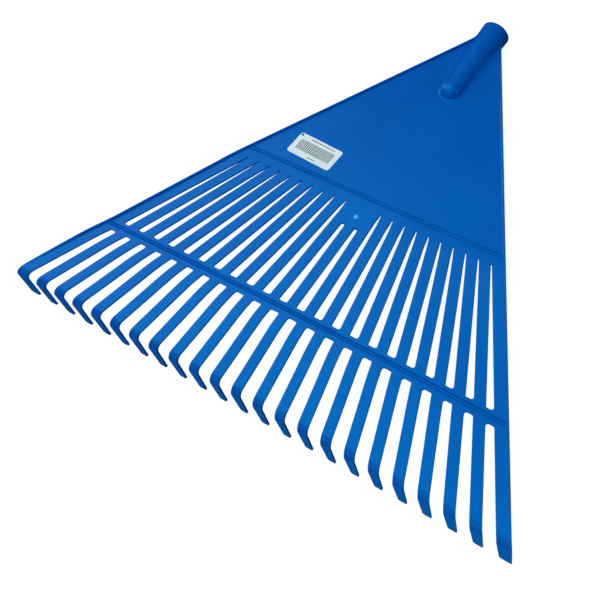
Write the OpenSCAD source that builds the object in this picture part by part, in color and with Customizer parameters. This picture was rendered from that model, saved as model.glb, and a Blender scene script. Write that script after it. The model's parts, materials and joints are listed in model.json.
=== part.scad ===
// Leaf rake head: a fan of springy hooked tines moulded in one sheet with a handle socket.
// Head frame: X runs across the fan, Y from the tines towards the handle, Z up.
// The fan's apex is the head frame's origin, and the top of the blade is at Z = 0.
// The finished head is tilted about the mouth of its socket, so that it lies on its
// tips and on the lower edge of that mouth.

/* [Fan] */
// Number of tines, odd so that one lies on the middle line
tine_count = 23; // [15:2:25]
// Pitch of the tines, measured along the crossbar
tine_pitch = 18.9; // [18:0.1:21]
// Width of a tine, square to its length
tine_w = 10; // [7:0.1:10.5]
// Distance from the outer tines' middle lines to the outer edges
edge_w = 6.7; // [5.5:0.1:9]
// Thickness of the moulded sheet
sheet_t = 2; // [1.6:0.1:2.6]

/* [Distances from the apex] */
// Narrow end of the blade
blade_top_at = 15; // [13:0.5:20]
// Bead across the blade
bead_at = 222.5; // [205:0.5:230]
// Upper ends of the slots
slot_at = 235; // [233:0.5:243]
// Gate nub on the middle line
gate_at = 245; // [244:0.5:249]
// Upper ends of the two slots beside the gate nub
gate_slot_at = 256; // [252:0.5:270]
// Middle line of the crossbar
crossbar_at = 354; // [335:1:370]
// Outer face of the hooked tips
bend_at = 439; // [425:1:460]

/* [Droop] */
// Drop of the crossbar's ends below the blade
bar_drop = 9.1; // [4:0.1:12]
// Rise of the crossbar's middle above its ends
bar_crown = 6.6; // [0:0.1:8]
// Drop of the tines at their bends below the blade
bend_drop = 13.8; // [12:0.1:20]

/* [Crossbar] */
// Reach of the crossbar from its middle line towards the blade
bar_back = 5.5; // [4:0.1:8]
// Reach of the crossbar from its middle line towards the tips
bar_front = 5.9; // [4:0.1:8]
// Length of the stub that carries each tine, from the crossbar to the tine's hinge
stub_l = 4; // [3:0.1:8]
// Radial gap between a tine's rounded root and its seat
hinge_gap = 0.12; // [0.1:0.01:0.3]

/* [Hooked tips] */
// Drop of the tips' ends below the top of the bend
tip_drop = 40; // [28:0.5:48]
// Outer radius of the bend
bend_r = 9.5; // [4:0.1:12]
// Lean of the tips back towards the socket, in degrees
tip_lean = 2.3; // [0:0.1:8]
// Narrowing of each side of a tip towards its end
tip_taper = 1; // [0:0.1:2]

/* [Beads and rims] */
// Width of the two beads
bead_w = 2.6; // [2:0.1:4]
// Height of the two beads
bead_h = 1; // [0.6:0.1:1.2]
// Width of the rims along the side edges
rim_w = 2; // [1.4:0.1:3]
// Height of the rims above the sheet
rim_h = 2.2; // [1:0.1:3]
// Gap in each rim on either side of the outer tine's hinge
rim_gap = 1; // [0.9:0.1:2]

/* [Handle socket] */
// Distance from the apex to the mouth, towards the handle
mouth_at = 3.5; // [0:0.5:10]
// Outer radius at the mouth
mouth_r = 14.2; // [13:0.1:14.8]
// Outer radius at the root, and of its domed end
root_r = 11; // [10.8:0.1:12]
// Length of the tapered tube, from the mouth to the start of the dome
socket_l = 83.5; // [75:0.5:100]
// Radius of the straight bore for the handle
bore_r = 11; // [10:0.1:11.4]
// Length of the straight bore
bore_l = 26; // [20:1:34]
// Radius of the bore at its blind end
bore_root_r = 8.4; // [7:0.1:8.8]
// Whole depth of the bore
bore_depth = 76; // [60:1:80]
// Gap between the socket and the blade around it
seam = 0.05; // [0.02:0.01:0.2]

/* [Gate nub] */
// Radius of the nub's foot
nub_r = 2.6; // [1.5:0.1:4]
// Height of the nub
nub_h = 1.4; // [0.6:0.1:1.5]

/* [Label] */
// Length of the sticker
label_w = 50; // [30:1:60]
// Height of the sticker
label_h = 25; // [15:1:30]
// Thickness of the sticker
label_t = 0.2; // [0.1:0.05:0.4]
// Radius of the sticker's corners
label_corner = 2.5; // [1:0.1:5]
// Distance of the sticker's centre from the middle line
label_x = -77; // [-85:1:-40]
// Distance of the sticker's centre from the apex
label_at = 199.5; // [190:0.5:202]
// Turn of the sticker on the blade, in degrees
label_turn = -4; // [-10:1:10]

/* [Hidden] */
$fn = 48;
blue = [0.03, 0.35, 0.70];
paper = [0.93, 0.94, 0.95];
// Number of flats around a bend
bend_steps = 8;
// Overshoot of cutting shapes past the faces they cut
past = 1;
// Index of the outer tine on each side of the middle one
half_n = (tine_count - 1) / 2;
bar_back_at = crossbar_at - bar_back;
bar_front_at = crossbar_at + bar_front;
hinge_at = bar_front_at + stub_l;
root_knuckle_r = sheet_t / 2;
seat_r = root_knuckle_r + hinge_gap;
// Centre of the bend and height of the tips' ends
bend_centre_at = bend_at - bend_r;
tip_z = -bend_drop - tip_drop;
// Half extents that reach past the whole head
span_x = edge_x(bend_at) + past;
span_z = bend_drop + tip_drop + mouth_r;
// Widths of the edge and of the rim, measured across X
edge_dx = edge_w / fan_cos(half_n);
rim_dx = rim_w / fan_cos(half_n);
bead_r = arch_r(bead_w / 2, bead_h);
// Slope of the middle spoke, which carries the gate nub
gate_slope = atan(-bar_z(0) / (bar_back_at - slot_at));
// Tilt that lays the tips and the mouth of the socket on one level
tilt = atan((-sheet_t / 2 - mouth_r - tip_z) / (mouth_at + tip_inner_at(half_n)));

function tine_name(i) = str("tine_", i < 10 ? "0" : "", i);

// Place across X of tine k's middle line at distance v from the apex
function fan_x(k, v) = k * tine_pitch * v / crossbar_at;

// Cosine of tine k's angle to the middle line
function fan_cos(k) = cos(atan(k * tine_pitch / crossbar_at));

// Place across X of the side edge at distance v from the apex
function edge_x(v) = fan_x(half_n, v) + edge_w / fan_cos(half_n);

// Sides of tine k across X: the outer tines reach out to the side edges
function low_x(k, v) = k == -half_n ? -edge_x(v) : fan_x(k, v) - tine_w / 2 / fan_cos(k);
function high_x(k, v) = k == half_n ? edge_x(v) : fan_x(k, v) + tine_w / 2 / fan_cos(k);

// Height of the crossbar's top at tine k
function bar_z(k) = -bar_drop + bar_crown * (1 - pow(k / half_n, 2));

// Radius of an arch with half width a and height h
function arch_r(a, h) = (a * a + h * h) / (2 * h);

// Slope of tine k from its hinge to its bend, and the height of its bend's centre
function tine_slope(k) = atan((bar_z(k) + bend_drop) / (bend_centre_at - hinge_at));
function bend_z(k) = -bend_drop - bend_r / cos(tine_slope(k));

// Arc of tine k's bend, from its straight stretch down to its tip
function bend_arc(k, r) = [
    for (i = [0 : bend_steps])
        let (a = (90 - tine_slope(k)) * (1 - i / bend_steps) - tip_lean * i / bend_steps)
            [-bend_centre_at - r * cos(a), bend_z(k) + r * sin(a)]
];

// Distances from the apex of the outer and inner faces of tine k's tip, at its end
function tip_outer_at(k) = bend_centre_at + bend_r / cos(tip_lean) + (tip_z - bend_z(k)) * tan(tip_lean);
function tip_inner_at(k) = tip_outer_at(k) - sheet_t / cos(tip_lean);

// Side outline of tine k, in Y and Z
function tine_outline(k) = concat(
    [[-hinge_at, bar_z(k)]],
    bend_arc(k, bend_r),
    [[-tip_outer_at(k), tip_z], [-tip_inner_at(k), tip_z]],
    [for (i = [bend_steps : -1 : 0]) bend_arc(k, bend_r - sheet_t)[i]],
    [[-hinge_at, bar_z(k) - sheet_t / cos(tine_slope(k))]]
);

// Line along the crossbar's top, in X and Z, raised by h
function bar_line(h) = concat(
    [[-span_x, bar_z(half_n) + h]],
    [for (k = [-half_n : half_n]) [fan_x(k, crossbar_at), bar_z(k) + h]],
    [[span_x, bar_z(half_n) + h]]
);

function backwards(points) = [for (i = [len(points) - 1 : -1 : 0]) points[i]];

// Lays the head, drawn in the head frame, on its tips and the mouth of its socket
module at_rest() {
    rotate([-tilt, 0, 0]) translate([0, -mouth_at, sheet_t / 2]) children();
}

// Solid with a side outline in Y and Z, across the whole head
module from_side(points) {
    rotate([90, 0, 90]) linear_extrude(2 * span_x, center = true) polygon(points);
}

// Solid with a front outline in X and Z, from distance v0 to v1 from the apex
module from_front(points, v0, v1) {
    translate([0, -v0, 0]) rotate([90, 0, 0]) linear_extrude(v1 - v0) polygon(points);
}

// Upright strip between two lines across X, given at distances v0 and v1 from the apex
module strip(low0, high0, low1, high1, v0, v1) {
    linear_extrude(2 * span_z, center = true)
        polygon([[low0, -v0], [high0, -v0], [high1, -v1], [low1, -v1]]);
}

// Upright strip along tine k
module tine_strip(k, v0, v1) {
    strip(low_x(k, v0), high_x(k, v0), low_x(k, v1), high_x(k, v1), v0, v1);
}

// Upright strip of the whole fan, drawn in from the side edges by inset
module fan_strip(v0, v1, inset = 0) {
    strip(inset - edge_x(v0), edge_x(v0) - inset, inset - edge_x(v1), edge_x(v1) - inset, v0, v1);
}

// Upright strip of the rim on one side, side = -1 or 1
module rim_strip(side, v0, v1) {
    inner0 = side * (edge_x(v0) - rim_dx);
    inner1 = side * (edge_x(v1) - rim_dx);
    strip(inner0, side * edge_x(v0), inner1, side * edge_x(v1), v0, v1);
}

// Rounded root of tine k, or its seat, about the tine's hinge line
module hinge_rod(k, r) {
    translate([0, -hinge_at, bar_z(k) - root_knuckle_r])
        rotate([0, 90, 0]) cylinder(h = 2 * span_x, r = r, center = true);
}

// Outside of the handle socket, grown by the seam where it cuts the blade
module socket_form(grow = 0) {
    translate([0, mouth_at, -sheet_t / 2]) rotate([90, 0, 0]) {
        cylinder(h = socket_l, r1 = mouth_r + grow, r2 = root_r + grow);
        translate([0, 0, socket_l]) sphere(r = root_r + grow);
    }
}

// Flat triangular blade, cut out around the socket
module blade() {
    color(blue) at_rest() difference() {
        intersection() {
            fan_strip(blade_top_at, slot_at);
            from_side([
                [-blade_top_at, 0], [-slot_at, 0], [-slot_at, -sheet_t], [-blade_top_at, -sheet_t]
            ]);
        }
        socket_form(seam);
    }
}

// Tapered tube with a domed end, bored straight for the handle and then tapering
module socket() {
    color(blue) at_rest() difference() {
        socket_form();
        translate([0, mouth_at, -sheet_t / 2]) rotate([90, 0, 0]) {
            translate([0, 0, -past]) cylinder(h = bore_l + past, r = bore_r);
            translate([0, 0, bore_l])
                cylinder(h = bore_depth - bore_l, r1 = bore_r, r2 = bore_root_r);
        }
    }
}

// Half-round bead across the blade, between the rims
module upper_bead() {
    color(blue) at_rest() intersection() {
        fan_strip(bead_at - bead_w, bead_at + bead_w, rim_dx);
        translate([0, -bead_at, bead_h - bead_r])
            rotate([0, 90, 0]) cylinder(h = 2 * span_x, r = bead_r, center = true);
        translate([-span_x, -bead_at - bead_w, 0]) cube([2 * span_x, 2 * bead_w, bead_h + past]);
    }
}

// Sheet that slopes from the blade down to the crossbar at tine k, cut along the given upright shape
module spoke(k) {
    intersection() {
        children();
        from_side([
            [-slot_at, 0], [-bar_back_at, bar_z(k)],
            [-bar_back_at, bar_z(k) - sheet_t], [-slot_at, -sheet_t]
        ]);
    }
}

// Middle three spokes in plan, joined by the web around the gate nub
module gate_comb() {
    linear_extrude(2 * span_z, center = true) polygon([
        [low_x(-1, slot_at), -slot_at], [high_x(1, slot_at), -slot_at],
        [high_x(1, bar_back_at), -bar_back_at], [low_x(1, bar_back_at), -bar_back_at],
        [low_x(1, gate_slot_at), -gate_slot_at], [high_x(0, gate_slot_at), -gate_slot_at],
        [high_x(0, bar_back_at), -bar_back_at], [low_x(0, bar_back_at), -bar_back_at],
        [low_x(0, gate_slot_at), -gate_slot_at], [high_x(-1, gate_slot_at), -gate_slot_at],
        [high_x(-1, bar_back_at), -bar_back_at], [low_x(-1, bar_back_at), -bar_back_at]
    ]);
}

// Row of spokes, of which the middle three carry the gate nub on their web
module spokes() {
    color(blue) at_rest() {
        spoke(0) gate_comb();
        for (side = [-1, 1], k = [2 : half_n]) spoke(side * k) tine_strip(side * k, slot_at, bar_back_at);
    }
}

// Crossbar that ties the tines, with a seated stub for each of them
module crossbar() {
    color(blue) at_rest() {
        intersection() {
            fan_strip(bar_back_at, bar_front_at);
            from_front(concat(bar_line(0), backwards(bar_line(-sheet_t))), bar_back_at, bar_front_at);
        }
        for (k = [-half_n : half_n]) difference() {
            intersection() {
                tine_strip(k, bar_front_at, hinge_at);
                from_side([
                    [-bar_front_at, bar_z(k)], [-hinge_at, bar_z(k)],
                    [-hinge_at, bar_z(k) - sheet_t], [-bar_front_at, bar_z(k) - sheet_t]
                ]);
            }
            hinge_rod(k, seat_r);
        }
    }
}

// Bead along the crossbar, between the rims
module crossbar_bead() {
    v0 = crossbar_at - bead_w / 2;
    v1 = crossbar_at + bead_w / 2;
    color(blue) at_rest() intersection() {
        fan_strip(v0, v1, rim_dx);
        from_front(concat(bar_line(bead_h), backwards(bar_line(0))), v0, v1);
    }
}

// Rim along one side edge, from the blade's narrow end to the outer tine's hinge
module rim(side) {
    end_at = hinge_at - rim_gap;
    z = bar_z(half_n);
    color(blue) at_rest() intersection() {
        rim_strip(side, blade_top_at, end_at);
        from_side([
            [-blade_top_at, 0], [-slot_at, 0], [-bar_back_at, z], [-end_at, z],
            [-end_at, z + rim_h], [-bar_back_at, z + rim_h], [-slot_at, rim_h], [-blade_top_at, rim_h]
        ]);
    }
}

module left_rim() {
    rim(-1);
}

module right_rim() {
    rim(1);
}

// Domed nub where the plastic entered the mould
module gate_nub() {
    color(blue) at_rest()
        translate([0, -gate_at, -tan(gate_slope) * (gate_at - slot_at)]) rotate([gate_slope, 0, 0])
            intersection() {
                translate([0, 0, nub_h - arch_r(nub_r, nub_h)]) sphere(r = arch_r(nub_r, nub_h));
                cylinder(h = nub_h + past, r = nub_r + past);
            }
}

// Blank paper sticker with rounded corners
module label() {
    inner_w = label_w - 2 * label_corner;
    inner_h = label_h - 2 * label_corner;
    color(paper) at_rest()
        translate([label_x, -label_at, 0]) rotate([0, 0, label_turn]) linear_extrude(label_t) {
            square([label_w, inner_h], center = true);
            square([inner_w, label_h], center = true);
            for (x = [-1, 1], y = [-1, 1])
                translate([x * inner_w / 2, y * inner_h / 2]) circle(r = label_corner);
        }
}

// Rim of an outer tine, fading out into its bend
module tine_rim(k) {
    start_at = hinge_at + rim_gap;
    start_z = bar_z(k) - rim_gap * tan(tine_slope(k));
    intersection() {
        rim_strip(sign(k), start_at, bend_centre_at);
        from_side([
            [-start_at, start_z], [-bend_centre_at, -bend_drop], [-start_at, start_z + rim_h]
        ]);
    }
}

// Tine i, with a rounded root at its hinge and a hooked, tapering tip
module tine(i) {
    k = i - 1 - half_n;
    low = low_x(k, bend_at);
    high = high_x(k, bend_at);
    color(blue) at_rest() {
        intersection() {
            tine_strip(k, hinge_at - root_knuckle_r, bend_at);
            union() {
                from_side(tine_outline(k));
                hinge_rod(k, root_knuckle_r);
            }
            from_front([
                [-span_x, span_z], [span_x, span_z], [span_x, bend_z(k)], [high, bend_z(k)],
                [high - tip_taper, tip_z], [low + tip_taper, tip_z], [low, bend_z(k)], [-span_x, bend_z(k)]
            ], hinge_at - root_knuckle_r - past, bend_at + past);
        }
        if (abs(k) == half_n) tine_rim(k);
    }
}

blade();
socket();
upper_bead();
spokes();
crossbar();
crossbar_bead();
left_rim();
right_rim();
gate_nub();
label();
for (i = [1 : tine_count]) tine(i);
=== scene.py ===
# Looks of a leaf rake head: a blue moulded fan with springy hooked tines, and a paper sticker
import json
import math

import bmesh
import bpy
import numpy as np
from mathutils import Matrix, Vector
from mathutils.geometry import delaunay_2d_cdt


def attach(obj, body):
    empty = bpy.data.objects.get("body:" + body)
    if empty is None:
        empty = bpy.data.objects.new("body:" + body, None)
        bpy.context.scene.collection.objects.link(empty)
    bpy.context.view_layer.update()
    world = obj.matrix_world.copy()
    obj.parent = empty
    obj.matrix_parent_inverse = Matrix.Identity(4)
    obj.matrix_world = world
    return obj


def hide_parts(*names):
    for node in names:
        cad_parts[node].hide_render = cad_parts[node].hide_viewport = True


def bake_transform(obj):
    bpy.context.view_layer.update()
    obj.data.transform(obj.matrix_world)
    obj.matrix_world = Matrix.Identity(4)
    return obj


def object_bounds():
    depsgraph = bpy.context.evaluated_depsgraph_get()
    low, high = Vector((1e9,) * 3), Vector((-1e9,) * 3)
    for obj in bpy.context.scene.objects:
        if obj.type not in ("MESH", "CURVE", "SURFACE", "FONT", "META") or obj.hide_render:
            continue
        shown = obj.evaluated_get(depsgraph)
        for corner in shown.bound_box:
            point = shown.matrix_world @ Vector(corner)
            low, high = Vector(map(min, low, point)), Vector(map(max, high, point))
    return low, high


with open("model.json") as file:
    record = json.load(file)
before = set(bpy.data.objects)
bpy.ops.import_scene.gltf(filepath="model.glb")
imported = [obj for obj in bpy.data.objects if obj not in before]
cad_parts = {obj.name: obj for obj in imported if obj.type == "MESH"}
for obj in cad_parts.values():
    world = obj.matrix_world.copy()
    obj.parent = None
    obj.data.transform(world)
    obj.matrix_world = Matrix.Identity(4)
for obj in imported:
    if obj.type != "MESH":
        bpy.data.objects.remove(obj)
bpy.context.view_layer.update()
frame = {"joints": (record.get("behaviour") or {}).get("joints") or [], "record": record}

MM = 0.001
QUARTER = math.pi / 2

# Fan of tines, counted from the middle one
TINES = len(frame["joints"])
HALF = TINES // 2
PITCH = 18.9 * MM
TINE_W = 10 * MM
EDGE_W = 6.7 * MM
SHEET_T = 2 * MM

# Distances from the apex of the fan
BEAD_AT = 222.5 * MM
SLOT_AT = 235 * MM
GATE_AT = 245 * MM
GATE_SLOT_AT = 256 * MM
BAR_BACK_AT = 348.5 * MM
CROSSBAR_AT = 354 * MM
BAR_FRONT_AT = 359.9 * MM
HINGE_AT = 363.9 * MM
BEND_AT = 439 * MM

# Heights below the blade's top, and the bend of a tine
BAR_DROP = 9.1 * MM
BAR_CROWN = 6.6 * MM
BEND_DROP = 13.8 * MM
TIP_DROP = 40 * MM
BEND_R = 9.5 * MM
BEND_CENTRE_AT = BEND_AT - BEND_R
TIP_Z = -BEND_DROP - TIP_DROP
TIP_LEAN = math.radians(2.3)
TIP_TAPER = 1 * MM
TIP_CORNER = 2.4 * MM
# Length over which a tine turns down from the crossbar
EASE = 16 * MM

# Beads, with fine grooves along both feet, and the trench in the sheet that holds bead and grooves
BEAD_HALF_W = 1.3 * MM
BEAD_H = 1 * MM
GROOVE_AT = 1.7 * MM
GROOVE_END = 2.2 * MM
GROOVE_D = 0.45 * MM
TRENCH_HALF_W = 2.1 * MM
TRENCH_WALL = 0.05 * MM
TRENCH_D = 0.8 * MM

# Rims, with the share of their height that they lose along the outermost tines
RIM_W = 2 * MM
RIM_H = 2.2 * MM
RIM_ROUND = 0.8 * MM
RIM_FOOT = 0.5 * MM
RIM_FADE = 0.96

# How far a piece stands out of its neighbour, or reaches into it, so that no two faces coincide
PROUD = 0.04 * MM
SUNK = 0.3 * MM

# Gate nub, and small raised lips round the blunt slots beside it
NUB_R = 2.6 * MM
NUB_H = 1.4 * MM
LIP_R = 0.55 * MM
LIP_OUT = 0.7 * MM
LIP_L = 2.5 * MM

# Handle socket
MOUTH_AT = 3.5 * MM
MOUTH_R = 14.2 * MM
MOUTH_ROUND = 0.6 * MM
ROOT_R = 11 * MM
SOCKET_L = 83.5 * MM
SOCKET_END_AT = SOCKET_L - MOUTH_AT
WALL_MIDDLE = 1.5 * MM
BORE_R = 11 * MM
BORE_L = 26 * MM
BORE_ROOT_R = 8.4 * MM
BORE_DEPTH = 76 * MM
# Fillet between tube and sheet: wide along the tube, narrowing towards its domed end
FILLET_WIDE = 9 * MM
FILLET_END = 2 * MM
FILLET_RATE = 0.3
FILLET_START = 16 * MM

# Sticker
LABEL_W = 50 * MM
LABEL_H = 25 * MM
LABEL_T = 0.2 * MM
LABEL_CORNER = 2.5 * MM
LABEL_X = -77 * MM
LABEL_AT = 199.5 * MM
LABEL_TURN = math.radians(-4)
# Plain print on the sticker: a ruled patch, a dot and two lines of given length, width and place
PRINT_T = 0.02 * MM
BARS = 20
BAR_STEP = 2 * MM
BAR_W = 1 * MM
BAR_L = 12 * MM
LINES = ((28 * MM, 0.8 * MM, 3 * MM, 9.4 * MM), (9 * MM, 0.7 * MM, 3 * MM, -9.7 * MM))
DOT_R = 1.4 * MM
DOT_CORNER = 0.9 * DOT_R
DOT_AT = (-22.6 * MM, 10.2 * MM)

# Rounding of edges and corners
CRISP = math.radians(50)
EDGE_R = 0.4 * MM
KINK = 6 * MM
BAR_KINK = 3 * MM
SLOT_POINT = 0.4 * MM
SLOT_POINT_R = 0.35 * MM
SLOT_RISE = 2 * MM
SLOT_TAPER = 9 * MM
SLOT_END_R = 1.8 * MM
GATE_SLOT_R = 1.3 * MM
NOTCH_R = 1.9 * MM
EDGE_CURVE_R = 20 * MM
EDGE_START = 0.5 * MM

# Steps round corners and along sweeps
EDGE_STEPS = 3
CORNER_STEPS = 7
STRETCH = 6 * MM
KINK_ROWS = 4
SLOPE_STEP = 2 * KINK
STRIP_PARTS = 4
STRIP_STEPS = 12
BEND_STEPS = 10
HOOK_STEPS = 5
TIP_STEPS = 8
RIM_STEPS = 4
BEAD_STEPS = 6
BEAD_PARTS = 8
BEAD_PLACES = 2 * HALF * BEAD_PARTS + 1
LIP_STEPS = 8
NUB_SEGMENTS = 32
NUB_RINGS = 10
SOCKET_SEGMENTS = 72
DOME_STEPS = 14
TUBE_STEPS = 11
MOUTH_STEPS = 4
FILLET_STEPS = 8
FILLET_STATIONS = 24
FILLET_TURNS = 24

# Distances under which a point lies on a line, and under which two points are one
ON_LINE = 0.04 * MM
SAME_POINT = 1e-8
# Share of a normal from which a side faces across the fan, and least share that shortens a sharp mitre
ACROSS = 0.5
MITRE_LEAST = 0.5

# Part of a noise's range that is spread over two colours or values
NOISE_LOW = 0.3
NOISE_HIGH = 0.7
# Noises, as scale and detail
PLASTIC_CLOUD = (14, 3)
PLASTIC_GLOSS = (400, 3)
PLASTIC_GRAIN = (900, 2)
NUB_HIGHLIGHT_CLOUD = (700, 2)
PAPER_CLOUD = (120, 4)
PAPER_GRAIN = (2500, 3)
INK_CLOUD = (900, 2)
# Bumps, as strength and distance
PLASTIC_BUMP = (0.06, 0.0002)
PAPER_BUMP = (0.1, 0.0001)
# Darker and lighter colour of each material
PLASTIC_COLOURS = ((0.0003, 0.076, 0.375, 1), (0.0005, 0.09, 0.415, 1))
# The gate nub's light blue pair is a painted highlight, not the plastic's own colour
NUB_HIGHLIGHT_COLOURS = ((0.03, 0.28, 0.72, 1), (0.08, 0.45, 0.95, 1))
PAPER_COLOURS = ((0.80, 0.76, 0.73, 1), (0.86, 0.82, 0.79, 1))
INK_COLOURS = ((0.03, 0.035, 0.04, 1), (0.06, 0.065, 0.07, 1))
STUDIO_COLOUR = (0.3, 0.3, 0.3, 1)
STUDIO_GLOW_COLOUR = (1, 1, 1, 1)
STUDIO_GLOW = 0.9
# Roughness of each material, and the spread over the plastic
PLASTIC_ROUGHNESS = 0.3
PLASTIC_ROUGHNESS_SPREAD = (0.28, 0.31)
NUB_HIGHLIGHT_ROUGHNESS = 0.35
PAPER_ROUGHNESS = 0.7
INK_ROUGHNESS = 0.6
STUDIO_ROUGHNESS = 0.9
# Strength and tint of the plastic's reflections
PLASTIC_SPECULAR = 0.7
PLASTIC_TINT = (0, 0.55, 1, 1)

# Pale floor, and a round pale wall far behind it, in metres
FLOOR_HALF = 15
WALL_R = 10
WALL_H = 8
WALL_SIDES = 48

# Lamps, as name, place, width, power and colour, all aimed at the middle of the rake
RAKE_MIDDLE = (0, -0.22, 0)
LAMP_COLOUR = (0.93, 0.98, 1)
ACCENT_COLOUR = (0.35, 0.75, 1)
LAMPS = (
    ("overhead_softbox", (-0.2, -0.2, 1.8), 2.4, 18, LAMP_COLOUR),
    ("left_softbox", (-1.2, -0.1, 1.5), 2.2, 15, LAMP_COLOUR),
    ("front_softbox", (-0.1, -1.7, 0.8), 1.4, 5, LAMP_COLOUR),
    ("left_accent", (-1.6, 0.25, 0.33), 0.45, 5, ACCENT_COLOUR),
    ("right_accent", (1.55, 0.08, 0.55), 0.3, 3, ACCENT_COLOUR),
)

# Light from the sky and glow of the floor in front of the tips: colour, direction that it comes from,
# shares of that direction between which it grows, and its strength at both
SKY = ((0.2, 0.75, 1, 1), (0, 0, 1), (0, 0.5), (0.04, 0.3))
GLOW = ((0, 0.4, 1, 1), (0, -0.8, -0.6), (0.6, 1), (0, 1.3))

# Camera at the photograph's viewing angle
CAMERA_AT = Vector((0.4262, -0.6144, 0.8680))
CAMERA_AIM = Vector((-0.0105, -0.3336, 0))
CAMERA_ROLL = math.radians(26.49)
CAMERA_LENS = 67.83

socket_axis = frame["record"]["mounts"][0]["axis"]
TILT = math.atan2(-socket_axis[2], socket_axis[1])


def put(x, v, z):
    """Point in the row frame, from its place across the fan, its distance from the apex and its height."""
    y = -v - MOUTH_AT
    h = z + SHEET_T / 2
    return Vector((x, y * math.cos(TILT) + h * math.sin(TILT), h * math.cos(TILT) - y * math.sin(TILT)))


def fan_x(k, v):
    """Place across the fan of the middle line of tine k."""
    return k * PITCH * v / CROSSBAR_AT


def fan_cos(k):
    """Cosine of the angle between tine k and the middle one."""
    return math.cos(math.atan(k * PITCH / CROSSBAR_AT))


def edge_x(v):
    """Place across the fan of its right edge."""
    return fan_x(HALF, v) + EDGE_W / fan_cos(HALF)


def low_x(k, v):
    """Left side of tine or spoke k."""
    return -edge_x(v) if k == -HALF else fan_x(k, v) - TINE_W / 2 / fan_cos(k)


def high_x(k, v):
    """Right side of tine or spoke k."""
    return -low_x(-k, v)


def bar_z(k):
    """Height of the crossbar's top at tine k."""
    return BAR_CROWN * (1 - (k / HALF) ** 2) - BAR_DROP


def free_fall(v):
    """Share of its drop to the bend that a tine has made, easing out of the crossbar."""
    gone = v - HINGE_AT
    fall = gone - EASE / 2
    if gone < EASE:
        fall = max(gone, 0) ** 2 / (2 * EASE)
    return min(fall / (BEND_CENTRE_AT - HINGE_AT - EASE / 2), 1)


def sheet_z(x, v):
    """Height of the top of the moulding, from the flat blade to the bends of the tines."""
    k = max(-HALF, min(HALF, x * CROSSBAR_AT / (PITCH * max(v, MM))))
    z = bar_z(k)
    if v > HINGE_AT:
        return z - (z + BEND_DROP) * free_fall(v)
    run = BAR_BACK_AT - SLOT_AT
    ramp = v - SLOT_AT
    if ramp < KINK:
        ramp = max(ramp + KINK, 0) ** 2 / (4 * KINK)
    elif ramp > run - BAR_KINK:
        ramp = run - max(run + BAR_KINK - ramp, 0) ** 2 / (4 * BAR_KINK)
    return z * ramp / run


def tube_r(v):
    """Outside radius of the handle socket."""
    return MOUTH_R + (ROOT_R - MOUTH_R) * (v + MOUTH_AT) / SOCKET_L


def angles(steps, turn=QUARTER):
    """Angles from nought to a turn in even steps."""
    return [turn * i / steps for i in range(steps + 1)]


def round_off(before, corner, after, radius):
    """Points of the arc that rounds a corner."""
    to_before = (before - corner).normalized()
    to_after = (after - corner).normalized()
    half = to_before.angle(to_after) / 2
    centre = corner + (to_before + to_after).normalized() * radius / math.sin(half)
    start = corner + to_before * radius / math.tan(half) - centre
    end = corner + to_after * radius / math.tan(half) - centre
    sweep_angle = start.angle(end)
    points = []
    for i in range(CORNER_STEPS + 1):
        t = i / CORNER_STEPS
        mix = start * math.sin((1 - t) * sweep_angle) + end * math.sin(t * sweep_angle)
        points.append(centre + mix / math.sin(sweep_angle))
    return points


def plan_line(corners, closed=True):
    """Line in plan, as x and y = -v, through corners (x, v, radius), in short steps."""
    places = [Vector((x, -v)) for x, v, radius in corners]
    turns = []
    for i, (x, v, radius) in enumerate(corners):
        inside = closed or 0 < i < len(corners) - 1
        if radius and inside:
            turns.append(round_off(places[i - 1], places[i], places[(i + 1) % len(places)], radius))
        else:
            turns.append([places[i]])
    line = []
    for i, turn in enumerate(turns):
        line += turn
        if i == len(turns) - 1 and not closed:
            break
        start = turn[-1]
        run = turns[(i + 1) % len(turns)][0] - start
        steps = max(1, round(run.length / STRETCH))
        line += [start + run * j / steps for j in range(1, steps)]
    return np.array([(p.x, p.y) for p in line])


def left_of(steps):
    """Unit normals on the left of steps along a line."""
    steps = steps / np.linalg.norm(steps, axis=1, keepdims=True)
    return np.column_stack((-steps[:, 1], steps[:, 0]))


def mitres(before, after):
    """Vectors that carry each point of a line to its left by a unit distance."""
    mean = before + after
    mean /= np.linalg.norm(mean, axis=1, keepdims=True)
    reach = np.maximum(np.sum(mean * after, axis=1, keepdims=True), MITRE_LEAST)
    return mean / reach


def open_rays(line):
    """Vectors to the left of each point of an open line."""
    steps = left_of(np.diff(line, axis=0))
    return mitres(np.vstack((steps[:1], steps)), np.vstack((steps, steps[-1:])))


def inset_rays(loop):
    """Vectors into the sheet from its outline; on the hinge line they stay on that line."""
    after = left_of(np.roll(loop, -1, axis=0) - loop)
    before = np.roll(after, 1, axis=0)
    rays = mitres(before, after)
    for i in np.flatnonzero(abs(loop[:, 1] + HINGE_AT) < ON_LINE):
        side = before[i] if abs(before[i][0]) > abs(after[i][0]) else after[i]
        rays[i] = (1 / side[0], 0) if abs(side[0]) > ACROSS else (0, 0)
    return rays


def edge_levels():
    """Inset and depth of the lines that round the sheet's two edges, from the top down."""
    top = [(EDGE_R * (1 - math.sin(a)), EDGE_R * (1 - math.cos(a))) for a in angles(EDGE_STEPS)]
    return top + [(inset, SHEET_T - depth) for inset, depth in reversed(top)]


def new_material(name, roughness):
    """Plain material and its shader."""
    material = bpy.data.materials.new(name)
    material.use_nodes = True
    shader = material.node_tree.nodes["Principled BSDF"]
    shader.inputs["Roughness"].default_value = roughness
    return material, shader


def add_noise(tree, scale, detail):
    """Amount that varies from place to place on a piece."""
    place = tree.nodes.new("ShaderNodeTexCoord")
    noise = tree.nodes.new("ShaderNodeTexNoise")
    noise.inputs["Scale"].default_value = scale
    noise.inputs["Detail"].default_value = detail
    tree.links.new(place.outputs["Object"], noise.inputs["Vector"])
    return noise.outputs["Fac"]


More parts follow.
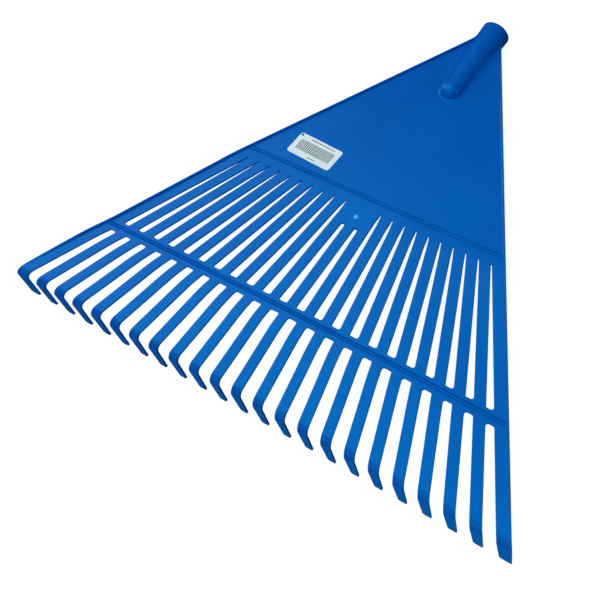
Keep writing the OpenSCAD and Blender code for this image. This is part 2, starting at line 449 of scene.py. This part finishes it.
def add_bump(tree, shader, height, strength, distance):
    """Fine grain of a surface."""
    bump = tree.nodes.new("ShaderNodeBump")
    bump.inputs["Strength"].default_value = strength
    bump.inputs["Distance"].default_value = distance
    tree.links.new(height, bump.inputs["Height"])
    tree.links.new(bump.outputs["Normal"], shader.inputs["Normal"])


def add_colour(tree, shader, amount, dark, light):
    """Base colour that goes from dark to light with an amount."""
    ramp = tree.nodes.new("ShaderNodeValToRGB")
    low, high = ramp.color_ramp.elements
    low.position = NOISE_LOW
    low.color = dark
    high.position = NOISE_HIGH
    high.color = light
    tree.links.new(amount, ramp.inputs["Fac"])
    tree.links.new(ramp.outputs["Color"], shader.inputs["Base Color"])


def add_range(tree, amount, low, high, start=NOISE_LOW, end=NOISE_HIGH):
    """Value that grows from low to high while an amount goes from start to end."""
    spread = tree.nodes.new("ShaderNodeMapRange")
    spread.inputs["From Min"].default_value = start
    spread.inputs["From Max"].default_value = end
    spread.inputs["To Min"].default_value = low
    spread.inputs["To Max"].default_value = high
    tree.links.new(amount, spread.inputs["Value"])
    return spread.outputs["Result"]


def blue_plastic():
    """Satin moulded polypropylene, a little uneven in colour and gloss."""
    material, shader = new_material("blue_plastic", PLASTIC_ROUGHNESS)
    tree = material.node_tree
    add_colour(tree, shader, add_noise(tree, *PLASTIC_CLOUD), *PLASTIC_COLOURS)
    gloss = add_range(tree, add_noise(tree, *PLASTIC_GLOSS), *PLASTIC_ROUGHNESS_SPREAD)
    tree.links.new(gloss, shader.inputs["Roughness"])
    add_bump(tree, shader, add_noise(tree, *PLASTIC_GRAIN), *PLASTIC_BUMP)
    shader.inputs["Specular IOR Level"].default_value = PLASTIC_SPECULAR
    shader.inputs["Specular Tint"].default_value = PLASTIC_TINT
    return material


def nub_highlight_paint():
    """Light blue on the gate nub: a painted highlight, not a colour of the plastic."""
    material, shader = new_material("nub_highlight_paint", NUB_HIGHLIGHT_ROUGHNESS)
    tree = material.node_tree
    add_colour(tree, shader, add_noise(tree, *NUB_HIGHLIGHT_CLOUD), *NUB_HIGHLIGHT_COLOURS)
    return material


def label_paper():
    """Matt off-white paper of the sticker."""
    material, shader = new_material("label_paper", PAPER_ROUGHNESS)
    tree = material.node_tree
    add_colour(tree, shader, add_noise(tree, *PAPER_CLOUD), *PAPER_COLOURS)
    add_bump(tree, shader, add_noise(tree, *PAPER_GRAIN), *PAPER_BUMP)
    return material


def label_ink():
    """Dark print on the sticker."""
    material, shader = new_material("label_ink", INK_ROUGHNESS)
    tree = material.node_tree
    add_colour(tree, shader, add_noise(tree, *INK_CLOUD), *INK_COLOURS)
    return material


def pale_floor():
    """White of the studio, which glows so that it looks white all over."""
    material, shader = new_material("pale_floor", STUDIO_ROUGHNESS)
    shader.inputs["Base Color"].default_value = STUDIO_COLOUR
    shader.inputs["Specular IOR Level"].default_value = 0
    shader.inputs["Emission Color"].default_value = STUDIO_GLOW_COLOUR
    shader.inputs["Emission Strength"].default_value = STUDIO_GLOW
    return material


BLUE = blue_plastic()
NUB_HIGHLIGHT_PAINT = nub_highlight_paint()
PAPER = label_paper()
INK = label_ink()
STUDIO = pale_floor()


def add_piece(name, points, faces, material=BLUE):
    """Closed smooth mesh from points in the head's own frame."""
    mesh = bpy.data.meshes.new(name)
    mesh.from_pydata([put(*p) for p in points], [], faces)
    shell = bmesh.new()
    shell.from_mesh(mesh)
    bmesh.ops.recalc_face_normals(shell, faces=shell.faces)
    shell.to_mesh(mesh)
    shell.free()
    mesh.shade_smooth()
    mesh.set_sharp_from_angle(angle=CRISP)
    mesh.materials.append(material)
    piece = bpy.data.objects.new(name, mesh)
    bpy.context.scene.collection.objects.link(piece)
    shading = piece.modifiers.new("even_shading", "WEIGHTED_NORMAL")
    shading.keep_sharp = True
    return piece


def tube_faces(rings, size):
    """Faces between rings of equal size, with caps on both ends."""
    faces = []
    for r in range(rings - 1):
        here = r * size
        there = here + size
        for i in range(size):
            j = (i + 1) % size
            faces.append((here + i, here + j, there + j, there + i))
    faces.append(tuple(range(size)))
    faces.append(tuple(range((rings - 1) * size, rings * size)))
    return faces


# Place where the side edge would meet the outside of the socket
EDGE_RATE = HALF * PITCH / CROSSBAR_AT
TUBE_RATE = (ROOT_R - MOUTH_R) / SOCKET_L
JOIN_AT = (tube_r(0) - edge_x(0)) / (EDGE_RATE - TUBE_RATE)


def edge_corners(side):
    """Side edge from inside the socket's wall down to the hinge line."""
    return [
        (side * (tube_r(EDGE_START) - PROUD), EDGE_START, 0),
        (side * edge_x(JOIN_AT), JOIN_AT, EDGE_CURVE_R),
        (side * edge_x(HINGE_AT), HINGE_AT, 0),
    ]


def outline_corners():
    """Outline of the rigid sheet, round the socket and along the stubs of the tines."""
    corners = list(reversed(edge_corners(1)))
    for side, at in ((1, EDGE_START), (1, SOCKET_END_AT), (-1, SOCKET_END_AT), (-1, EDGE_START)):
        corners.append((side * (tube_r(at) - WALL_MIDDLE), at, 0))
    corners += edge_corners(-1)
    for k in range(-HALF, HALF):
        corners.append((high_x(k, HINGE_AT), HINGE_AT, 0))
        corners.append((high_x(k, BAR_FRONT_AT), BAR_FRONT_AT, NOTCH_R))
        corners.append((low_x(k + 1, BAR_FRONT_AT), BAR_FRONT_AT, NOTCH_R))
        corners.append((low_x(k + 1, HINGE_AT), HINGE_AT, 0))
    return corners


def slot_corners(k):
    """Slot between spokes k and k + 1: pointed at the blade, but blunt on both sides of the gate."""
    end = [
        (low_x(k + 1, BAR_BACK_AT), BAR_BACK_AT, SLOT_END_R),
        (high_x(k, BAR_BACK_AT), BAR_BACK_AT, SLOT_END_R),
    ]
    if k in (-1, 0):
        return [
            (high_x(k, GATE_SLOT_AT), GATE_SLOT_AT, GATE_SLOT_R),
            (low_x(k + 1, GATE_SLOT_AT), GATE_SLOT_AT, GATE_SLOT_R),
        ] + end
    point_at = SLOT_AT - SLOT_RISE
    full_at = SLOT_AT + SLOT_TAPER
    middle = (high_x(k, point_at) + low_x(k + 1, point_at)) / 2
    return [
        (middle - SLOT_POINT, point_at, SLOT_POINT_R),
        (middle + SLOT_POINT, point_at, SLOT_POINT_R),
        (low_x(k + 1, full_at), full_at, 0),
    ] + end + [(high_x(k, full_at), full_at, 0)]


def inside_loops(places, loops):
    """True for each place that lies in the outline and in no slot."""
    inside = np.zeros(len(places), bool)
    for loop in loops:
        ends = np.roll(loop, -1, axis=0)
        for (x0, y0), (x1, y1) in zip(loop, ends):
            if y0 == y1:
                continue
            spans = (y0 > places[:, 1]) != (y1 > places[:, 1])
            inside ^= spans & (places[:, 0] < x0 + (x1 - x0) * (places[:, 1] - y0) / (y1 - y0))
    return inside


def bead_places(at):
    """Places across the fan along a bead, from rim to rim."""
    end = edge_x(at) - RIM_W
    return np.linspace(-end, end, BEAD_PLACES)


def trench(v):
    """Depth of the trenches in the sheet's top that the beads fill."""
    return TRENCH_D if min(abs(v - BEAD_AT), abs(v - CROSSBAR_AT)) < TRENCH_HALF_W else 0


def fan_row(v, parts):
    """Places in a row across the fan, with a number of parts to each pitch."""
    return [(fan_x(k / parts, v), -v) for k in range(-parts * HALF, parts * HALF + 1)]


def inner_places():
    """Places inside the sheet that carry its slopes, its crown and its trenches."""
    places = []
    for v in np.arange(SLOT_AT - KINK_ROWS * KINK, SLOT_AT, KINK):
        places += fan_row(v, 2)
    for v in np.arange(SLOT_AT + KINK, BAR_BACK_AT, SLOPE_STEP):
        places += fan_row(v, 1)
    places += fan_row(CROSSBAR_AT, 2)
    for at in (BEAD_AT, CROSSBAR_AT):
        for wall in (-TRENCH_HALF_W, TRENCH_HALF_W):
            for side in (-TRENCH_WALL, TRENCH_WALL):
                places += [(x, -at - wall - side) for x in bead_places(at)]
    return np.array(places)


def head_sheet():
    """Blade, spokes, crossbar and stubs of the tines as one rounded sheet."""
    levels = edge_levels()
    loops = [plan_line(outline_corners())] + [plan_line(slot_corners(k)) for k in range(-HALF, HALF)]
    points = []
    faces = []
    cap = []
    cap_loops = []
    rims = []
    top_of = []
    under_of = []
    for loop in loops:
        rays = inset_rays(loop)
        size = len(loop)
        first = len(points)
        for inset, depth in levels:
            for x, y in loop + rays * inset:
                points.append((x, -y, sheet_z(x, -y) - depth))
        for level in range(len(levels) - 1):
            for i in range(size):
                a = first + level * size + i
                b = first + level * size + (i + 1) % size
                faces.append((a, a + size, b + size, b))
        start = len(cap)
        cap_loops.append(loop + rays * levels[0][0])
        cap += [tuple(p) for p in cap_loops[-1]]
        rims += [(start + i, start + (i + 1) % size) for i in range(size)]
        top_of += range(first, first + size)
        under_of += range(first + (len(levels) - 1) * size, first + len(levels) * size)
    inner = inner_places()
    for x, y in inner[inside_loops(inner, cap_loops)]:
        cap.append((x, y))
        top_of.append(len(points))
        points.append((x, -y, sheet_z(x, -y) - trench(-y)))
        under_of.append(len(points))
        points.append((x, -y, sheet_z(x, -y) - SHEET_T))
    made = delaunay_2d_cdt([Vector(p) for p in cap], rims, [], 0, SAME_POINT)
    made_faces, origins = made[2:4]
    source = [origin[0] for origin in origins]
    triangles = [[source[i] for i in face] for face in made_faces]
    middles = np.array([np.mean([cap[i] for i in t], axis=0) for t in triangles])
    for t, kept in zip(triangles, inside_loops(middles, cap_loops)):
        if kept:
            faces.append([top_of[i] for i in t])
            faces.append([under_of[i] for i in reversed(t)])
    return add_piece("head_sheet", points, faces)


def tine_section():
    """Place across the strip, inset and depth of the points round a tine."""
    levels = edge_levels()
    top = [(i / STRIP_PARTS, EDGE_R, 0) for i in range(STRIP_PARTS)]
    under = [(i / STRIP_PARTS, EDGE_R, SHEET_T) for i in range(STRIP_PARTS - 1, 0, -1)]
    right = [(1, inset, depth) for inset, depth in levels]
    left = [(0, inset, depth) for inset, depth in reversed(levels)]
    return top + right + under + left[:-1]


def tine_path(k):
    """Stations along the outside of tine k: place, inward direction and distance left to its end."""
    slope = math.atan((bar_z(k) + BEND_DROP) / (BEND_CENTRE_AT - HINGE_AT - EASE / 2))
    centre_z = -BEND_DROP - BEND_R / math.cos(slope)
    first = QUARTER - slope
    arc = [first - (first + TIP_LEAN) * i / BEND_STEPS for i in range(BEND_STEPS + 1)]
    bend = [(BEND_CENTRE_AT + BEND_R * math.cos(a), centre_z + BEND_R * math.sin(a)) for a in arc]
    path = [(HINGE_AT, bar_z(k), 0, -1, TIP_DROP)]
    for v in np.linspace(HINGE_AT, bend[0][0], STRIP_STEPS + 1)[1:-1]:
        lean = slope * min((v - HINGE_AT) / EASE, 1)
        z = bar_z(k) - (bar_z(k) + BEND_DROP) * free_fall(v)
        path.append((v, z, -math.sin(lean), -math.cos(lean), TIP_DROP))
    for a, (v, z) in zip(arc, bend):
        path.append((v, z, -math.cos(a), -math.sin(a), TIP_DROP))
    v, z = bend[-1]
    length = (z - TIP_Z) / math.cos(TIP_LEAN)
    left = [length * i / HOOK_STEPS for i in range(HOOK_STEPS - 1, 0, -1)]
    left = [e for e in left if e > TIP_CORNER]
    left += [TIP_CORNER * (1 - math.sin(a)) for a in angles(TIP_STEPS)]
    for e in left:
        gone = length - e
        at = v - gone * math.sin(TIP_LEAN)
        path.append((at, z - gone * math.cos(TIP_LEAN), -math.cos(TIP_LEAN), math.sin(TIP_LEAN), e))
    return path


def drawn_in(e, radius):
    """How far a rounded corner draws in at distance e from the end."""
    return radius - math.sqrt(max(radius ** 2 - max(radius - e, 0) ** 2, 0))


def tine(k):
    """Springy strip from the hinge line to its hooked, rounded tip."""
    name = f"tine_{k + HALF + 1:02d}"
    section = tine_section()
    points = []
    path = tine_path(k)
    for v, z, in_v, in_z, e in path:
        half_t = SHEET_T / 2 - drawn_in(e, EDGE_R)
        for across, inset, depth in section:
            deep = SHEET_T / 2 + (depth - SHEET_T / 2) * half_t / (SHEET_T / 2)
            at = v + in_v * deep
            height = z + in_z * deep
            gone = (-BEND_DROP - BEND_R - height) / (TIP_DROP - BEND_R)
            pinch = TIP_TAPER * max(0, min(1, gone)) + drawn_in(e, TIP_CORNER)
            low = low_x(k, at) + pinch + inset / fan_cos(k)
            high = high_x(k, at) - pinch - inset / fan_cos(k)
            x = low + (high - low) * across
            crown = bar_z(max(-HALF, min(HALF, x * CROSSBAR_AT / (PITCH * at)))) - bar_z(k)
            crown *= 1 - free_fall(at)
            points.append((x, at, height + crown))
    piece = add_piece(name + "_strip", points, tube_faces(len(path), len(section)))
    bend_tine(piece)
    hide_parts(name)


def bend_tine(piece):
    """Bakes a piece's placement into its mesh."""
    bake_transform(piece)


def sweep(name, line, rays, section, fade=lambda v: 1):
    """Piece on the sheet along a line in plan; fade scales what stands above the sheet."""
    points = []
    for place, ray in zip(line, rays):
        keep = fade(-place[1])
        for aside, height in section:
            x, y = place + ray * aside
            points.append((x, -y, sheet_z(x, -y) + (height * keep if height > 0 else height)))
    return add_piece(name, points, tube_faces(len(line), len(section)))


def rim_section():
    """Inward offset and height of the points round a rim that stands on the sheet's edge."""
    foot = -SHEET_T - PROUD
    turns = angles(RIM_STEPS)
    section = [(RIM_W, foot), (EDGE_R, foot)]
    section += [(-PROUD + EDGE_R * (1 - math.sin(a)), foot + EDGE_R * (1 - math.cos(a))) for a in turns[1:]]
    outer = -PROUD + RIM_ROUND
    top = RIM_H - RIM_ROUND
    section += [(outer - RIM_ROUND * math.cos(a), top + RIM_ROUND * math.sin(a)) for a in turns]
    inner = RIM_W - RIM_ROUND
    section += [(inner + RIM_ROUND * math.sin(a), top + RIM_ROUND * math.cos(a)) for a in turns]
    heel = RIM_W + RIM_FOOT
    section += [(heel - RIM_FOOT * math.cos(a), RIM_FOOT * (1 - math.sin(a))) for a in turns]
    return section + [(heel, -SUNK)]


def rim_fade(v):
    """Share of its height that a rim has along the outermost tine."""
    return 1 - RIM_FADE * ((v - HINGE_AT) / (BEND_CENTRE_AT - HINGE_AT)) ** 2


def side_rims():
    """Rims along both side edges, each with a tail that fades out along the outermost tine."""
    section = rim_section()
    for side, name in ((-1, "left_rim"), (1, "right_rim")):
        edge = plan_line(edge_corners(side), closed=False)
        piece = sweep(name + "_bar", edge, open_rays(edge) * -side, section)
        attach(piece, "head")
        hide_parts(name)
        ends = [(side * edge_x(v), v, 0) for v in (HINGE_AT, BEND_CENTRE_AT)]
        edge = plan_line(ends, closed=False)
        piece = sweep(name + "_tail", edge, open_rays(edge) * -side, section, rim_fade)
        bend_tine(piece)


def bead_section():
    """Place along the fan and height of the points over a bead and the grooves at its feet."""
    half = [(a / QUARTER * BEAD_HALF_W, BEAD_H * math.cos(a)) for a in angles(BEAD_STEPS)]
    half += [(GROOVE_AT, -GROOVE_D), (GROOVE_END, PROUD), (GROOVE_END, -TRENCH_D - SUNK)]
    return [(-s, h) for s, h in reversed(half[1:])] + half


def bead(node, at):
    """Low soft rib across the fan, from rim to rim."""
    section = bead_section()
    places = bead_places(at)
    points = [(x, at + s, sheet_z(x, at + s) + h) for x in places for s, h in section]
    piece = add_piece(node + "_rib", points, tube_faces(len(places), len(section)))
    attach(piece, "head")
    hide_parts(node)


def slot_lip(k):
    """Low lip round the blunt end of the slot between spokes k and k + 1."""
    foot_at = GATE_SLOT_AT + LIP_L
    top_at = GATE_SLOT_AT - LIP_OUT
    radius = GATE_SLOT_R + LIP_OUT / 2
    line = plan_line([
        (high_x(k, foot_at) - LIP_OUT, foot_at, 0), (high_x(k, top_at) - LIP_OUT, top_at, radius),
        (low_x(k + 1, top_at) + LIP_OUT, top_at, radius), (low_x(k + 1, foot_at) + LIP_OUT, foot_at, 0),
    ], closed=False)
    section = [(LIP_R * math.cos(a), LIP_R * math.sin(a)) for a in angles(LIP_STEPS, math.pi)]
    section += [(-LIP_R, -SUNK), (LIP_R, -SUNK)]
    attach(sweep(f"slot_lip_{k + 2}", line, open_rays(line), section), "head")


def gate_nub():
    """Low dome on the sheet, where the sprue was."""
    points = []
    for r in range(NUB_RINGS):
        out = 1 - r / NUB_RINGS
        for a in angles(NUB_SEGMENTS, 2 * math.pi)[:-1]:
            x = NUB_R * out * math.cos(a)
            v = GATE_AT + NUB_R * out * math.sin(a)
            points.append((x, v, sheet_z(x, v) + NUB_H * math.sqrt(1 - out ** 2)))
    under = [(x, v, sheet_z(x, v) - SUNK) for x, v, z in points[:NUB_SEGMENTS]]
    # The dome carries a painted highlight instead of the blue plastic
    piece = add_piece("gate_nub_dome", under + points, tube_faces(NUB_RINGS + 1, NUB_SEGMENTS), NUB_HIGHLIGHT_PAINT)
    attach(piece, "head")
    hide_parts("gate_nub")


def socket_profile():
    """Radius and distance from the apex, from the dome's tip out along the tube and back into the bore."""
    lip_at = MOUTH_ROUND - MOUTH_AT
    bore_end_at = BORE_DEPTH - MOUTH_AT
    profile = [(0, SOCKET_END_AT + ROOT_R)]
    for a in angles(DOME_STEPS)[1:-1]:
        profile.append((ROOT_R * math.sin(a), SOCKET_END_AT + ROOT_R * math.cos(a)))
    for v in np.linspace(SOCKET_END_AT, lip_at, TUBE_STEPS + 1)[:-1]:
        profile.append((tube_r(v), v))
    turns = angles(MOUTH_STEPS)
    outer = MOUTH_R - MOUTH_ROUND
    profile += [(outer + MOUTH_ROUND * math.cos(a), lip_at - MOUTH_ROUND * math.sin(a)) for a in turns]
    inner = BORE_R + MOUTH_ROUND
    profile += [(inner - MOUTH_ROUND * math.sin(a), lip_at - MOUTH_ROUND * math.cos(a)) for a in turns]
    return profile + [(BORE_R, BORE_L - MOUTH_AT), (BORE_ROOT_R, bore_end_at), (0, bore_end_at)]


def socket():
    """Tapered tube with a domed end and an open bore for the handle."""
    profile = socket_profile()
    points = [(0, profile[0][1], -SHEET_T / 2)]
    for r, v in profile[1:-1]:
        for a in angles(SOCKET_SEGMENTS, 2 * math.pi)[:-1]:
            points.append((r * math.cos(a), v, r * math.sin(a) - SHEET_T / 2))
    points.append((0, profile[-1][1], -SHEET_T / 2))
    faces = []
    last = len(points) - 1
    rings = len(profile) - 2
    last_ring = 1 + (rings - 1) * SOCKET_SEGMENTS
    for i in range(SOCKET_SEGMENTS):
        j = (i + 1) % SOCKET_SEGMENTS
        faces.append((0, 1 + i, 1 + j))
        faces.append((last, last_ring + j, last_ring + i))
        for r in range(rings - 1):
            here = 1 + r * SOCKET_SEGMENTS
            there = here + SOCKET_SEGMENTS
            faces.append((here + i, there + i, there + j, here + j))
    piece = add_piece("socket_tube", points, faces)
    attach(piece, "head")
    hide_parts("socket")


def fillet_section(tube, radius):
    """Outward distance and height above the socket's axis of a fillet between tube and sheet."""
    level = SHEET_T / 2
    out = math.sqrt((tube + radius) ** 2 - (radius + level) ** 2)
    last = math.atan2(radius + level, out)
    section = []
    for turn in angles(FILLET_STEPS, QUARTER - last):
        a = QUARTER - turn
        section.append((out - radius * math.cos(a), level + radius - radius * math.sin(a)))
    return section + [(tube - SUNK, level - SUNK), (out, level - SUNK)]


def socket_fillets():
    """Smooth run of the tube into the sheet, along both sides and round the domed end."""
    stations = []
    for v in np.linspace(FILLET_START, SOCKET_END_AT, FILLET_STATIONS):
        free = edge_x(v) - RIM_W - tube_r(v)
        narrowing = FILLET_END + FILLET_RATE * (SOCKET_END_AT - v)
        stations.append((v, 0, tube_r(v), min(FILLET_WIDE, narrowing, free)))
    turns = [(SOCKET_END_AT, a, ROOT_R, FILLET_END) for a in angles(FILLET_TURNS, math.pi)[1:-1]]
    back = [(v, math.pi, tube, radius) for v, a, tube, radius in reversed(stations)]
    path = stations + turns + back
    for name, sign in (("socket_fillet_top", 1), ("socket_fillet_under", -1)):
        points = []
        for v, a, tube, radius in path:
            for out, h in fillet_section(tube, radius):
                points.append((out * math.cos(a), v + out * math.sin(a), sign * h - SHEET_T / 2))
        size = len(points) // len(path)
        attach(add_piece(name, points, tube_faces(len(path), size)), "head")


def on_label(a, b, z):
    """Point on the sticker, from its own middle."""
    x = LABEL_X + a * math.cos(LABEL_TURN) - b * math.sin(LABEL_TURN)
    y = -LABEL_AT + a * math.sin(LABEL_TURN) + b * math.cos(LABEL_TURN)
    return x, -y, z


def flat_card(w, h, corner, middle, low, high, first=0):
    """Points and faces of a thin card on the sticker's place; first is the index of its first point."""
    a, b = middle
    corners = [
        (a + w / 2, -b + h / 2, corner), (a + w / 2, -b - h / 2, corner),
        (a - w / 2, -b - h / 2, corner), (a - w / 2, -b + h / 2, corner),
    ]
    line = plan_line(corners)
    points = [on_label(x, y, z) for z in (low, high) for x, y in line]
    faces = [tuple(first + i for i in face) for face in tube_faces(2, len(line))]
    return points, faces


def label():
    """Paper sticker with a plain ruled patch and no lettering."""
    points, faces = flat_card(LABEL_W, LABEL_H, LABEL_CORNER, (0, 0), -PROUD, LABEL_T)
    card = add_piece("label_card", points, faces, PAPER)
    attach(card, "head")
    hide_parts("label")
    marks = [(BAR_W, BAR_L, 0, ((i - (BARS - 1) / 2) * BAR_STEP, 0)) for i in range(BARS)]
    marks += [(w, h, 0, (a, b)) for w, h, a, b in LINES]
    marks.append((2 * DOT_R, 2 * DOT_R, DOT_CORNER, DOT_AT))
    points = []
    faces = []
    for w, h, corner, middle in marks:
        more, sides = flat_card(w, h, corner, middle, LABEL_T - PROUD, LABEL_T + PRINT_T, len(points))
        points += more
        faces += sides
    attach(add_piece("label_print", points, faces, INK), "head")


def add_stage(name, points, faces):
    """Surface of the studio that the camera sees and that sheds no light on the rake."""
    mesh = bpy.data.meshes.new(name)
    mesh.from_pydata(points, [], faces)
    mesh.materials.append(STUDIO)
    surface = bpy.data.objects.new(name, mesh)
    bpy.context.scene.collection.objects.link(surface)
    surface.visible_diffuse = False
    surface.visible_glossy = False
    return surface


def studio(floor_z):
    """Floor under the tips and the mouth of the socket, and the wall round it."""
    corners = ((-1, -1), (1, -1), (1, 1), (-1, 1))
    add_stage("floor", [(FLOOR_HALF * a, FLOOR_HALF * b, floor_z) for a, b in corners], [(0, 1, 2, 3)])
    ring = angles(WALL_SIDES, 2 * math.pi)[:-1]
    points = [(WALL_R * math.cos(a), WALL_R * math.sin(a), z) for z in (floor_z, WALL_H) for a in ring]
    nexts = [(i + 1) % WALL_SIDES for i in range(WALL_SIDES)]
    faces = [(i, j, j + WALL_SIDES, i + WALL_SIDES) for i, j in enumerate(nexts)]
    add_stage("studio_wall", points, faces).visible_shadow = False


def soft_light(name, place, width, power, colour):
    """Round lamp that is aimed at the middle of the rake."""
    lamp = bpy.data.lights.new(name, "AREA")
    lamp.shape = "DISK"
    lamp.size = width
    lamp.energy = power
    lamp.color = colour
    light = bpy.data.objects.new(name, lamp)
    light.location = place
    light.rotation_euler = (Vector(RAKE_MIDDLE) - Vector(place)).to_track_quat("-Z", "Y").to_euler()
    bpy.context.scene.collection.objects.link(light)


def add_backdrop(tree, colour, towards, growth, strengths):
    """Light from around that grows towards one direction."""
    direction = tree.nodes.new("ShaderNodeTexCoord").outputs["Generated"]
    share = tree.nodes.new("ShaderNodeVectorMath")
    share.operation = "DOT_PRODUCT"
    share.inputs[1].default_value = towards
    tree.links.new(direction, share.inputs[0])
    strength = add_range(tree, share.outputs["Value"], *strengths, *growth)
    light = tree.nodes.new("ShaderNodeBackground")
    light.inputs["Color"].default_value = colour
    tree.links.new(strength, light.inputs["Strength"])
    return light.outputs["Background"]


def surroundings():
    """World that lights the rake from above, and from the floor in front of it."""
    world = bpy.data.worlds.new("studio")
    world.use_nodes = True
    tree = world.node_tree
    both = tree.nodes.new("ShaderNodeAddShader")
    for socket_in, backdrop in zip(both.inputs, (SKY, GLOW)):
        tree.links.new(add_backdrop(tree, *backdrop), socket_in)
    tree.links.new(both.outputs["Shader"], tree.nodes["World Output"].inputs["Surface"])
    bpy.context.scene.world = world


def photograph_camera():
    """Camera that sees the rake as the photograph shows it."""
    lens = bpy.data.cameras.new("camera")
    lens.lens = CAMERA_LENS
    camera = bpy.data.objects.new("camera", lens)
    aim = (CAMERA_AIM - CAMERA_AT).to_track_quat("-Z", "Y").to_matrix().to_4x4()
    camera.matrix_world = Matrix.Translation(CAMERA_AT) @ aim @ Matrix.Rotation(-CAMERA_ROLL, 4, "Z")
    bpy.context.scene.collection.objects.link(camera)
    bpy.context.scene.camera = camera


sheet = head_sheet()
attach(sheet, "head")
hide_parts("blade", "spokes", "crossbar")
for k in range(-HALF, HALF + 1):
    tine(k)
side_rims()
bead("upper_bead", BEAD_AT)
bead("crossbar_bead", CROSSBAR_AT)
gate_nub()
slot_lip(-1)
slot_lip(0)
socket()
socket_fillets()
label()

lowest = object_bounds()[0]
studio(lowest[2])
for lamp in LAMPS:
    soft_light(*lamp)
surroundings()
photograph_camera()
bpy.context.scene.view_settings.view_transform = "Standard"
